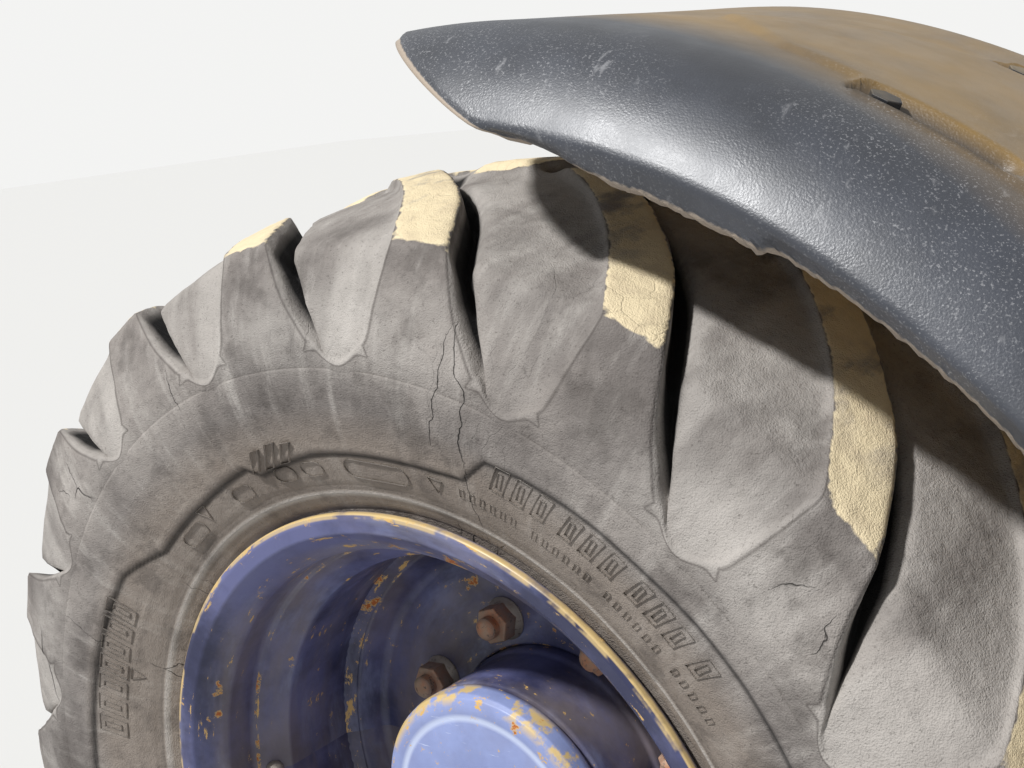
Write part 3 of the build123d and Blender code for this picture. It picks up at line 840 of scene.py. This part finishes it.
def makeMarks():  # each outline is drawn flat, raised, and laid on the sidewall
    bm = bmesh.new()
    # raised marks the outlines' tops, which the rubber lays lighter as a painted highlight
    raised = bm.verts.layers.float.new("raised")
    placed = bm.verts.layers.int.new("placed")

    def lay(verts, angle, radius, line, lift=1.0):
        face = bm.faces.new(verts)
        ring = bmesh.ops.inset_region(
            bm, faces=[face], thickness=line, use_boundary=True, use_even_offset=True,
        )["faces"]
        bmesh.ops.delete(bm, geom=[face], context="FACES_ONLY")
        top = bmesh.ops.extrude_face_region(bm, geom=ring)["geom"]
        lifted = [part for part in top if isinstance(part, bmesh.types.BMVert)]
        for vert in lifted:
            vert.co.z += markLook["height"] + markLook["sunk"]
            vert[raised] = 1.0
        bmesh.ops.delete(bm, geom=[part for part in ring if part.is_valid], context="FACES_ONLY")
        for vert in bm.verts:
            if vert[placed]:
                continue
            away = radius + vert.co.y
            turn = radians(angle) - vert.co.x / radius
            height = vert.co.z * lift - markLook["sunk"] + moulding(away, degrees(turn))[0]
            vert.co = wheelPoint(away, -sidewallAcross(away) - height, turn)
            vert[placed] = 1

    def flat(points):
        return [bm.verts.new((x, y, 0)) for x, y in points]

    slanted, small, other = markLook["lifts"]
    for angle, radius, wide, high, slant in bigBars + sideBars + slantBars + smallBars:
        corners = [(-wide - slant, -high), (wide - slant, -high), (wide + slant, high), (-wide + slant, high)]
        lift = slanted if slant > 8 else small if wide < 5 else other
        line = min(markLook["line"], wide * markLook["lineShare"])
        lay(flat([(x / 2, y / 2) for x, y in corners]), angle, radius, line, lift)
        if wide > 10:
            thinner, lower, line = markLook["hatch"]
            lay(flat([(x * thinner, y * lower) for x, y in corners]), angle, radius, line)
    for angle, radius, long, half in oblongs:
        verts = bmesh.ops.create_circle(bm, segments=24, radius=half)["verts"]
        for vert in verts:
            vert.co.x += (long - half) * (1 if vert.co.x > 0.001 else -1)
        lay(verts, angle, radius, markLook["thin"])
    for angle, radius, size in triangles:
        lay(flat([(-size, size), (0, -size), (size, size)]), angle, radius, markLook["thin"])
    bmesh.ops.recalc_face_normals(bm, faces=bm.faces)
    return bm


makePiece(makeMarks(), "sidewallMarks", "wheel", rubber, sharp=30)
print("marks made")

# rim, disc, hub, cap, nuts and studs

wheelLook = {  # node, points round the axle, whether the outline is closed, and the edges' bevel
    "rimRing": ("rim", 192, True, 2.2),
    "wheelDisc": ("wheel_disc", 128, True, 2.5),
    "hubDrum": ("hub", 96, False, 1.6),
    "hubCover": ("hub_cap", 128, False, 0.8),
}
wheelProfiles = {  # radius, across
    "rimRing": [
        (283.0, -176), (283.4, -170.5), (279.0, -165), (263.2, -165), (257.2, -158), (257.2, -126),
        (235.5, -98.7), (235.5, 25), (257.2, 62), (257.2, 158), (263.2, 165), (279, 165), (283.4, 170.5),
        (283, 176), (278.5, 177), (267, 174), (250, 156), (247.2, 150), (247.2, 66), (225.5, 29),
        (225.5, -98.7), (239.5, -116), (243, -120.5), (246.2, -121.5), (248.0, -125), (247.2, -150),
        (250, -156), (267, -174), (278.5, -177),
    ],
    "wheelDisc": [
        (225.4, -21), (216, -21), (214, -19), (203, -2), (198, 1), (111.8, 1), (111.8, 17), (211, 17),
        (225.4, 3),
    ],
    "hubDrum": [
        (0, -76), (104, -76), (106.5, -75.8), (107.2, -72), (108.5, -70), (108.5, -11), (111.3, -7),
        (111.3, 17), (164, 17), (164, 37), (150, 38), (140, 49), (140, 138), (128, 150), (62, 150), (62, 55),
        (0, 55),
    ],
    "hubCover": [
        (0, -100.6), (60, -100.4), (84, -100.1), (88, -99.2), (91, -99.2), (95, -100), (101, -99.6),
        (105.5, -97.6), (108.4, -94), (109.4, -89), (109.4, -77.5), (108, -76), (0, -76),
    ],
}
for name, (node, steps, closed, bevel) in wheelLook.items():
    made = lathe(wheelProfiles[name], steps, closed)
    piece = makePiece(made, name, "wheel", bluePaint, bevel=bevel)
    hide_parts(node)

weldLook = {"steps": 360, "beads": 150, "ripple": 0.9, "foot": 0.3, "edge": -24.0}
weldProfile = [(225.6, -29), (216.5, -21.5), (221, -20.5), (225.6, -20.5)]
weld = lathe(weldProfile, weldLook["steps"])
for vert in weld.verts:
    turn = atan2(vert.co.z, vert.co.x)
    share = 1 if vert.co.y < (wheelPlane + weldLook["edge"]) * mm else weldLook["foot"]
    vert.co.y += weldLook["ripple"] * mm * sin(turn * weldLook["beads"]) * share
makePiece(weld, "discWeld", "wheel", bluePaint, sharp=70)

nutLook = {
    "flats": 30.0, "height": 16.0, "foot": -4.0, "chamfer": 2.0,
    "circle": 137.5, "first": 17.3, "count": 8,  # the nuts' places
}
washerProfile = [(10.3, 1), (19, 1), (19.4, -0.5), (18.6, -1.8), (15.6, -5.6), (14.6, -6.0), (10.3, -6.0)]
studLook = {"steps": 24, "thread": 9.9, "threadStart": -18.5, "threadStep": 0.75, "threadPoints": 14}
studHead = [(0, 42.5), (14.5, 42.5), (15, 42), (15, 37.2), (10, 37.2), (10, -17)]
studTip = [(8.2, -29.4), (5, -30.2), (0, -30.2)]


def roundWheel(bm):  # what stands on the axle's line goes to the first nut's place, and copies to the others
    turn, radius, count = radians(nutLook["first"]), nutLook["circle"], nutLook["count"]
    shift = Matrix.Translation(Vector((radius * cos(turn), 0, radius * sin(turn))) * mm)
    bmesh.ops.transform(bm, matrix=shift @ Matrix.Rotation(-turn, 4, "Y"), verts=bm.verts)
    bmesh.ops.spin(
        bm, geom=bm.verts[:] + bm.edges[:] + bm.faces[:], cent=(0, 0, 0), axis=(0, -1, 0),
        angle=2 * pi * (count - 1) / count, steps=count - 1, use_duplicate=True,
    )
    return bm


def makeNuts():
    bm = bmesh.new()
    radius, height = nutLook["flats"] / sqrt(3) * mm, nutLook["height"] * mm
    middle = (wheelPlane + nutLook["foot"]) * mm - height / 2
    lying = Matrix.Translation((0, middle, 0)) @ Matrix.Rotation(pi / 2, 4, "X")
    bmesh.ops.create_cone(
        bm, cap_ends=True, segments=6, radius1=radius, radius2=radius, depth=height, matrix=lying,
    )
    rims = [edge for edge in bm.edges if abs(edge.verts[0].co.y - edge.verts[1].co.y) < 0.0001]
    chamfer = nutLook["chamfer"] * mm
    bmesh.ops.bevel(bm, geom=rims, offset=chamfer, segments=2, profile=0.5, affect="EDGES", material=-1)
    return roundWheel(bm)


def makeStuds():
    step = studLook["threadStep"]
    thread = [
        (studLook["thread"] - step * (number % 2), studLook["threadStart"] - step * number)
        for number in range(studLook["threadPoints"])
    ]
    return roundWheel(lathe(studHead + thread + studTip, studLook["steps"], closed=False))


nuts = makePiece(makeNuts(), "wheelNuts", "wheel", rustySteel, bevel=0.5)
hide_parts("wheel_nuts")
washers = roundWheel(lathe(washerProfile, 40, closed=False))
makePiece(washers, "nutWashers", "wheel", plainSteel, sharp=40)
studs = makePiece(makeStuds(), "wheelStuds", "wheel", rustySteel, sharp=50)
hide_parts("wheel_studs")
print("wheel made")

# mudguard: a moulded skin swept round its own centre and cut to a rounded nose

guardLook = {
    "centre": 70.0,  # behind the axle
    "radius": 617.0,
    "flat": 125.0,  # half of the level part
    "turn": 98.0,  # radius of the turned-down side
    "turnAngle": 65.3,
    "hem": 20.1,  # from the crease to the cut edge
    "sideLength": 256.8,  # along a row from the middle to the cut edge
    "halfWidth": 214.0,
    "innerLip": 8.0,
    "creaseDrop": 57.0,
    "hemDrop": 18.0,
    "hemIn": 9.0,
    "tailCorner": 70.0,
    "tailDrop": 10.0,
    "noseCentre": 186.0,
    "noseLength": 190.0,
    "noseWidth": 216.0,
    "wall": 4.0,
    "panelHeight": 3.5,
    "panelSlope": 9.0,
    "grooveDepth": 8.0,
    "grooveLength": 110.0,
    "grooveWidth": 30.0,
    "grooveSlope": 6.0,
    "rows": (70, 60),  # on the outboard and the inboard half
    "steps": 300,
    "sweep": radians(100),
    "tearAngle": radians(60.3),
    "tear": (5.0, 2.5, 12.0),  # step, notch, and how far the edge rises at the nose
    "ripple": 1.1,
    "highest": 616.9,
}
panelCorners = [  # along the curve from its tail, across
    (836, 20), (750, -62), (690, -78), (676, -116), (145, -116),
    (145, 157), (676, 157), (690, 119), (750, 103),
]
grooveSpots = [(angle, across) for angle in (58.5, 27.5) for across in (-97.0, 138.0)]


def guardRow(number):  # distance across and drop under the top for one row; negative numbers are outboard
    look = guardLook
    outboard, inboard = look["rows"]
    flat, turn = look["flat"], look["turn"]
    bend = turn * radians(look["turnAngle"])
    if number < 0:
        length = (flat + bend + look["hem"]) * -number / outboard
        if length <= flat:
            return -length, 0.0
        if length <= flat + bend:
            angle = pi / 2 - (length - flat) / turn
            return -flat - turn * cos(angle), turn * (1 - sin(angle))
        share = (length - flat - bend) / look["hem"]
        drop = look["creaseDrop"] + look["hemDrop"] * share
        return -look["halfWidth"] + look["hemIn"] * share, drop
    edge = look["halfWidth"]
    length = (edge + look["innerLip"]) * number / inboard
    below = length - edge + 3
    if below <= 0:
        return length, 0.0
    return edge - 3 + 3 * ease(below / 5), 1.2 * below * ease(below / 6)


def guardEnds(across, drop):  # angles at which a row starts at the tail and ends at the nose
    look = guardLook
    half, width = look["halfWidth"], look["noseWidth"]
    reach = min(abs(across), half)
    bend = look["tailCorner"]
    corner = max(reach - width + bend, 0.0)
    tail = max(bend - look["tailDrop"] - sqrt(bend ** 2 - corner ** 2), 0.0)
    hem = (drop - look["creaseDrop"]) / look["hemDrop"]
    wide = reach if hem < 0 or across > 0 else blend(half, width, hem)
    nose = look["noseCentre"] - look["noseLength"] * sqrt(max(1 - (wide / width) ** 2, 0.0))
    radius = look["radius"] - drop
    return tail / radius, pi / 2 - (nose - look["centre"]) / radius


def segmentDistance(x, y, one, two):
    ax, ay = two[0] - one[0], two[1] - one[1]
    share = min(max(((x - one[0]) * ax + (y - one[1]) * ay) / (ax * ax + ay * ay), 0.0), 1.0)
    return hypot(x - one[0] - ax * share, y - one[1] - ay * share)


def insideOutline(x, y, corners):  # distance to an outline, positive inside it
    inside = False
    sides = list(zip(corners, corners[1:] + corners[:1]))
    for one, two in sides:
        if (one[1] > y) != (two[1] > y) and x < blend(one[0], two[0], (y - one[1]) / (two[1] - one[1])):
            inside = not inside
    nearest = min(segmentDistance(x, y, one, two) for one, two in sides)
    return nearest if inside else -nearest


# height of the raised panel and the sunk grooves, along the curve and across, and how far a groove has it
def guardRelief(place, across):
    look = guardLook
    height = inGroove = 0.0
    if -130 < across < 171:
        inside = insideOutline(place, across, panelCorners) / look["panelSlope"]
        height = look["panelHeight"] * ease(inside + 0.5)
        half = (look["grooveLength"] - look["grooveWidth"]) / 2
        for angle, spot in grooveSpots:
            middle = look["radius"] * radians(angle)
            if abs(place - middle) < 80 and abs(across - spot) < 40:
                away = segmentDistance(place, across, (middle - half, spot), (middle + half, spot))
                sunk = ease((look["grooveWidth"] / 2 + 2.5 - away) / look["grooveSlope"])
                height = blend(height, -look["grooveDepth"], sunk)
                inGroove = max(inGroove, sunk)
    return height, inGroove


def makeGuard():
    look = guardLook
    outboard, inboard = look["rows"]
    numbers = list(range(-outboard, inboard + 1))
    bm = bmesh.new()
    rowLayer = bm.verts.layers.int.new("row")
    ragged = bm.verts.layers.float.new("ragged")
    # sunk marks the grooves, which the plastic lays plain black as painted shade
    sunkLayer = bm.verts.layers.float.new("sunk")
    verts = []
    for number in numbers:
        across, drop = guardRow(number)
        away = look["centre"] + look["radius"] - drop
        vert = bm.verts.new(Vector((away, wheelPlane + across, 0)) * mm)
        vert[rowLayer] = number
        verts.append(vert)
    edges = [bm.edges.new(pair) for pair in zip(verts, verts[1:])]
    steps, sweep = look["steps"], look["sweep"]
    middle = Vector((look["centre"] * mm, 0, 0))
    bmesh.ops.spin(bm, geom=verts + edges, cent=middle, axis=(0, -1, 0), angle=sweep, steps=steps)
    crease = look["flat"] + look["turn"] * radians(look["turnAngle"])
    lowest = crease / look["sideLength"] * outboard
    step, notch, rise = look["tear"]
    for vert in bm.verts:
        number = vert[rowLayer]
        across, drop = guardRow(number)
        column = round(atan2(vert.co.z, vert.co.x - middle.x) / sweep * steps)
        start, end = guardEnds(across, drop)
        angle = blend(start, end, column / steps)
        place = look["radius"] * angle
        toNose = look["radius"] * (end - angle)
        if -number > lowest:
            share = (-number - lowest) / (outboard - lowest)
            torn = step * ease((look["tearAngle"] - angle) * 240)
            torn -= notch * ease(1 - abs(angle - look["tearAngle"] - radians(0.3)) * 400)
            torn += rise * ease(1 - toNose / 80.0)
            wave = noise.noise(Vector((place * 0.16, 1.5, 0)))
            wave += 0.6 * noise.noise(Vector((place * 0.6, 7.5, 0)))
            torn += look["ripple"] * wave
            across += torn * 0.45 * share
            drop -= torn * 0.9 * share
        height, vert[sunkLayer] = guardRelief(place, across)
        height -= 4.5 * ease(1 - toNose / 10.0) + 3.0 * ease(1 - (angle - start) * look["radius"] / 8.0)
        height += 0.8 * noise.noise(vert.co * 9.0) - 0.5
        height = min(height, look["panelHeight"] - 0.1)
        tilt = ease(drop / 60.0)
        radius = look["radius"] - drop + height * (1 - tilt * 0.6)
        high = min(radius * sin(angle), look["highest"])
        vert.co = Vector((look["centre"] + radius * cos(angle), wheelPlane + across, high)) * mm
        vert[ragged] = ease(1.4 - (number + outboard) * 0.9) if number < 0 else 0.0
        if toNose < 4 and number < 0:
            vert[ragged] = max(vert[ragged], 0.8)
    first = next(face for face in bm.faces if abs(face.calc_center_median().y - wheelPlane * mm) < 0.01)
    if first.normal.dot(first.calc_center_median() - middle) < 0:
        bmesh.ops.reverse_faces(bm, faces=bm.faces)
    return bm


guard = makePiece(makeGuard(), "guardSkin", "axle_end", plastic, sharp=180)
walls = guard.modifiers.new("walls", "SOLIDIFY")
walls.thickness = guardLook["wall"] * mm
walls.offset = -1
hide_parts("mudguard")

# axle end: the CAD pieces get soft edges, and bolts, splines and welds are added


# a merged copy of a CAD node with rounded edges, which stands for the node
def softened(name, material, body, width):
    bm = bmesh.new()
    bm.from_mesh(nodes[name].data)
    bmesh.ops.remove_doubles(bm, verts=bm.verts, dist=0.00001)
    bmesh.ops.dissolve_limit(bm, angle_limit=radians(1), verts=bm.verts, edges=bm.edges)
    bmesh.ops.recalc_face_normals(bm, faces=bm.faces)
    piece = makePiece(bm, name + "Soft", body, material, bevel=width)
    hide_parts(name)
    return piece


softened("axle_arm", axlePaint, "axle_end", 2.0)
softened("spindle", axlePaint, "axle_end", 1.0)
softened("guard_bracket", bracketPaint, "axle_end", 1.2)
softened("oil_plug", rustySteel, "wheel", 0.8)

armLook = {
    "flats": 18.0, "head": 8.0, "washer": 12.5, "thick": 2.2,
    "tipFace": -262.0, "tipCircle": 102.0, "tipBolts": 12, "footTop": 126.0,
}
footBolts = [(-36.0, -184.0), (36.0, -184.0), (-36.0, -142.0), (36.0, -142.0)]
weldLines = [((-50.0, -209.5, 126.5), (50.0, -209.5, 126.5)), ((-50.0, -222.5, 113.0), (50.0, -222.5, 113.0))]
beadLook = {"step": 3.6, "radius": 5.5, "squash": 0.8}
splineLook = {
    "teeth": 26, "radius": 24.0, "root": 22.3, "core": 22.0, "chamfer": 2.2, "end": 452.0, "runOut": 3.0,
}
valveLook = {"foot": (-235.5, -561.35, 0.0), "slope": (25.3, -20.7, 0.0)}
valveProfile = [
    (8, 0), (8, 2.6), (6.4, 5.4), (5, 6.4), (5, 12), (4.5, 12.6), (5, 13.2), (4.5, 13.8), (5, 14.4),
    (4.5, 15), (5, 15.6), (4.4, 16.4), (4.4, 18), (5, 18.6), (5, 30.6), (4.2, 32), (0, 32),
]


def addBolt(bm, foot, outward, look):  # a hexagon head on a washer, standing on its foot
    facing = outward.to_track_quat("Z", "Y").to_matrix().to_4x4()
    top = look["thick"] + look["head"]
    for radius, low, high, sides in (
        (look["washer"], 0, look["thick"], 32), (look["flats"] / sqrt(3), look["thick"], top, 6),
    ):
        matrix = Matrix.Translation((foot + outward * (low + high) / 2) * mm) @ facing
        bmesh.ops.create_cone(
            bm, cap_ends=True, segments=sides, radius1=radius * mm, radius2=radius * mm,
            depth=(high - low) * mm, matrix=matrix,
        )


def makeArmBolts():
    bm = bmesh.new()
    for number in range(armLook["tipBolts"]):
        turn = 2 * pi * (number + 0.5) / armLook["tipBolts"]
        radius = armLook["tipCircle"]
        foot = Vector((radius * cos(turn), armLook["tipFace"], radius * sin(turn)))
        addBolt(bm, foot, Vector((0, 1, 0)), armLook)
    for x, y in footBolts:
        addBolt(bm, Vector((x, y, armLook["footTop"])), Vector((0, 0, 1)), armLook)
    return bm


def makeWelds():
    bm = bmesh.new()
    for start, end in weldLines:
        start, end = Vector(start), Vector(end)
        count = int((end - start).length / beadLook["step"])
        for number in range(count + 1):
            place = Matrix.Translation(start.lerp(end, number / count) * mm)
            matrix = place @ Matrix.Diagonal((beadLook["squash"], 1.0, 1.0, 1.0))
            bmesh.ops.create_uvsphere(
                bm, u_segments=12, v_segments=8, radius=beadLook["radius"] * mm, matrix=matrix,
            )
    return bm


def makeShaft():
    low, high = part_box("half_shaft")
    start, end = high[1] / mm - wheelPlane, low[1] / mm - wheelPlane
    radius, core, chamfer = splineLook["radius"], splineLook["core"], splineLook["chamfer"]
    stop = splineLook["end"]
    profile = [
        (0, start), (radius - chamfer, start), (radius, start - chamfer), (radius, stop),
        (core, stop - splineLook["runOut"]), (core, end), (0, end),
    ]
    steps = 4 * splineLook["teeth"]
    bm = lathe(profile, steps, closed=False)
    for vert in bm.verts:
        radius = hypot(vert.co.x, vert.co.z)
        spot = round(atan2(vert.co.z, vert.co.x) / (2 * pi) * steps)
        if radius > 23 * mm and spot % 4 in (0, 1):  # two points of every four are a gap between teeth
            vert.co.x *= splineLook["root"] * mm / radius
            vert.co.z *= splineLook["root"] * mm / radius
    return bm


def makeValve():
    bm = bmesh.new()
    verts = [bm.verts.new((radius * mm, 0, height * mm)) for radius, height in valveProfile]
    edges = [bm.edges.new(pair) for pair in zip(verts, verts[1:])]
    bmesh.ops.spin(
        bm, geom=verts + edges, cent=(0, 0, 0), axis=(0, 0, 1), angle=2 * pi, steps=24, use_merge=True,
    )
    bmesh.ops.remove_doubles(bm, verts=bm.verts, dist=0.00001)
    bmesh.ops.recalc_face_normals(bm, faces=bm.faces)
    lean = Vector(valveLook["slope"]).to_track_quat("Z", "Y").to_matrix().to_4x4()
    bmesh.ops.transform(bm, matrix=Matrix.Translation(Vector(valveLook["foot"]) * mm) @ lean, verts=bm.verts)
    return bm


makePiece(makeArmBolts(), "armBolts", "axle_end", plainSteel, bevel=0.8)
makePiece(makeWelds(), "bracketWelds", "axle_end", bracketPaint, sharp=180)
shaft = makePiece(makeShaft(), "splinedShaft", "drive_shaft", plainSteel, sharp=30)
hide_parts("half_shaft")
valve = makePiece(makeValve(), "tyreValve", "wheel", plainSteel, sharp=40)
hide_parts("valve")
print("axle end made")

boltLook = {"flats": 18.0, "head": 8.0, "washer": 13.0, "thick": 2.2, "shift": 32.0}


def makeGuardBolts():  # bolts with washers in the grooves, over the bracket's bars
    bm = bmesh.new()
    for angle, across in grooveSpots:
        shift = boltLook["shift"] if angle > 40 else -boltLook["shift"]
        turn = radians(angle) + shift / guardLook["radius"]
        outward = Vector((cos(turn), 0, sin(turn)))
        foot = outward * (guardLook["radius"] - guardLook["grooveDepth"])
        addBolt(bm, foot + Vector((guardLook["centre"], wheelPlane + across, 0)), outward, boltLook)
    return bm


makePiece(makeGuardBolts(), "guardBolts", "axle_end", blackBolts, bevel=0.8)
print("mudguard made")

# floor, light and camera

stageLook = {
    "floor": (224, 223, 220),
    "bounce": (192, 192, 192),  # the floor's colour as the part sees it
    "level": -0.5175,
    "size": 30,
    "light": 3.8,
    "softness": 4.0,
    "toLight": (-0.2, -0.62, 0.76),
    "sky": ((0.93, 0.96, 1.0, 1), 0.28),
    "backdrop": (0.9, 0.9, 0.89, 1),
    "inGloss": 0.35,
}


def makeStage():
    bm = bmesh.new()
    level = Matrix.Translation((0, 0, stageLook["level"]))
    bmesh.ops.create_grid(bm, x_segments=1, y_segments=1, size=stageLook["size"], matrix=level)
    material, _ = newMaterial("floorGrey", stageLook, Roughness=0.9, Specular_IOR_Level=0.1)
    seen = add("LightPath", {})["Is Camera Ray"]
    shown = mixed(seen, colour(*stageLook["bounce"]), colour(*stageLook["floor"]))
    work["tree"].links.new(shown, work["surface"]["Base Color"])
    floor = newObject("floor", newMesh(bm, "floor", material))

    sun = bpy.data.lights.new("keyLight", "SUN")
    sun.energy = stageLook["light"]
    sun.angle = radians(stageLook["softness"])
    lamp = newObject("keyLight", sun)
    lamp.rotation_mode = "QUATERNION"
    lamp.rotation_quaternion = Vector(stageLook["toLight"]).to_track_quat("Z", "Y")

    world = bpy.data.worlds.new("studio")
    scene.world = world
    world.use_nodes = True
    tree = work["tree"] = world.node_tree
    soft = tree.nodes["Background"]
    soft.inputs["Color"].default_value, soft.inputs["Strength"].default_value = stageLook["sky"]
    white = add("Background", {"Color": stageLook["backdrop"], "Strength": 1.0})[0]
    path = add("LightPath", {})
    seen = maths("MAXIMUM", path["Is Camera Ray"], times(path["Is Glossy Ray"], stageLook["inGloss"]))
    mix = add("MixShader", {0: seen, 1: soft.outputs[0], 2: white})[0]
    tree.links.new(mix, tree.nodes["World Output"].inputs["Surface"])


cameraLook = {
    "lens": 49.57,
    "sensor": 36.0,
    "place": (0.6927, -1.3183, 0.5730),
    "right": (0.7891, 0.6044, -0.1094),
    "ahead": (-0.6129, 0.7628, -0.2062),
}


def makeCamera():
    camera = bpy.data.cameras.new("camera")
    camera.lens = cameraLook["lens"]
    camera.sensor_width = cameraLook["sensor"]
    view = newObject("camera", camera)
    right = Vector(cameraLook["right"]).normalized()
    ahead = Vector(cameraLook["ahead"]).normalized()
    matrix = Matrix((right, right.cross(ahead), -ahead)).transposed().to_4x4()
    matrix.translation = cameraLook["place"]
    view.matrix_world = matrix
    scene.camera = view


makeStage()
makeCamera()
scene.view_settings.view_transform = "Standard"
print("stage made")
